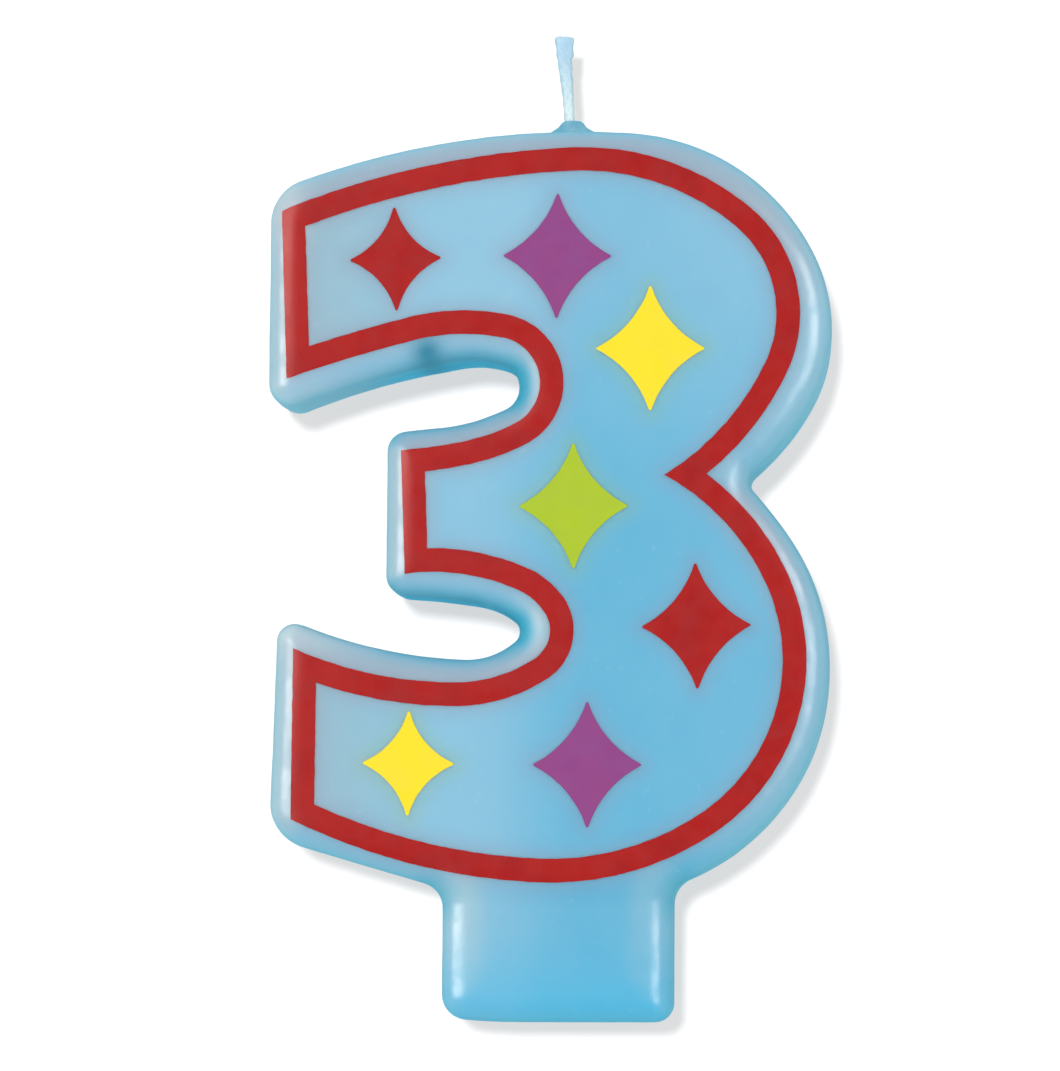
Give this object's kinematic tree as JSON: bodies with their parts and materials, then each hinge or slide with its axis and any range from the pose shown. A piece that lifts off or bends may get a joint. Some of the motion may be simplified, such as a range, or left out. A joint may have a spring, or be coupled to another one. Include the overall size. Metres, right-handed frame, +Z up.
{
  "type": "numeral candle",
  "caption": "Moulded wax birthday candle shaped as the numeral 3, with a printed outline and stars, a cake tab and a short leaning wick.",
  "frame": {"origin": "middle of the flat end of the cake tab", "axes": "+Z up the candle from the tab's end to the wick, +X to the right as the printed front face is read, -Y out of the printed front face"},
  "size_m": [0.0479, 0.0121, 0.0845],
  "materials": {
    "core_wax": "undyed paraffin wax, translucent cream white",
    "blue_wax": "sky-blue dyed wax, satin to glossy, slightly translucent",
    "wick_cotton": "braided cotton dipped in pale blue wax",
    "ink_red": "dark red printed ink, satin",
    "ink_purple": "purple printed ink, satin",
    "ink_yellow": "yellow printed ink, satin",
    "ink_green": "lime green printed ink, satin"
  },
  "bodies": {
    "root": {"wax_core": "core_wax", "dip_coat": "blue_wax", "wick": "wick_cotton", "wick_collar": "blue_wax", "outline_print": "ink_red", "star_red_upper": "ink_red", "star_purple_upper": "ink_purple", "star_yellow_upper": "ink_yellow", "star_green_middle": "ink_green", "star_red_lower": "ink_red", "star_yellow_lower": "ink_yellow", "star_purple_lower": "ink_purple"}
  },
  "joints": []
}
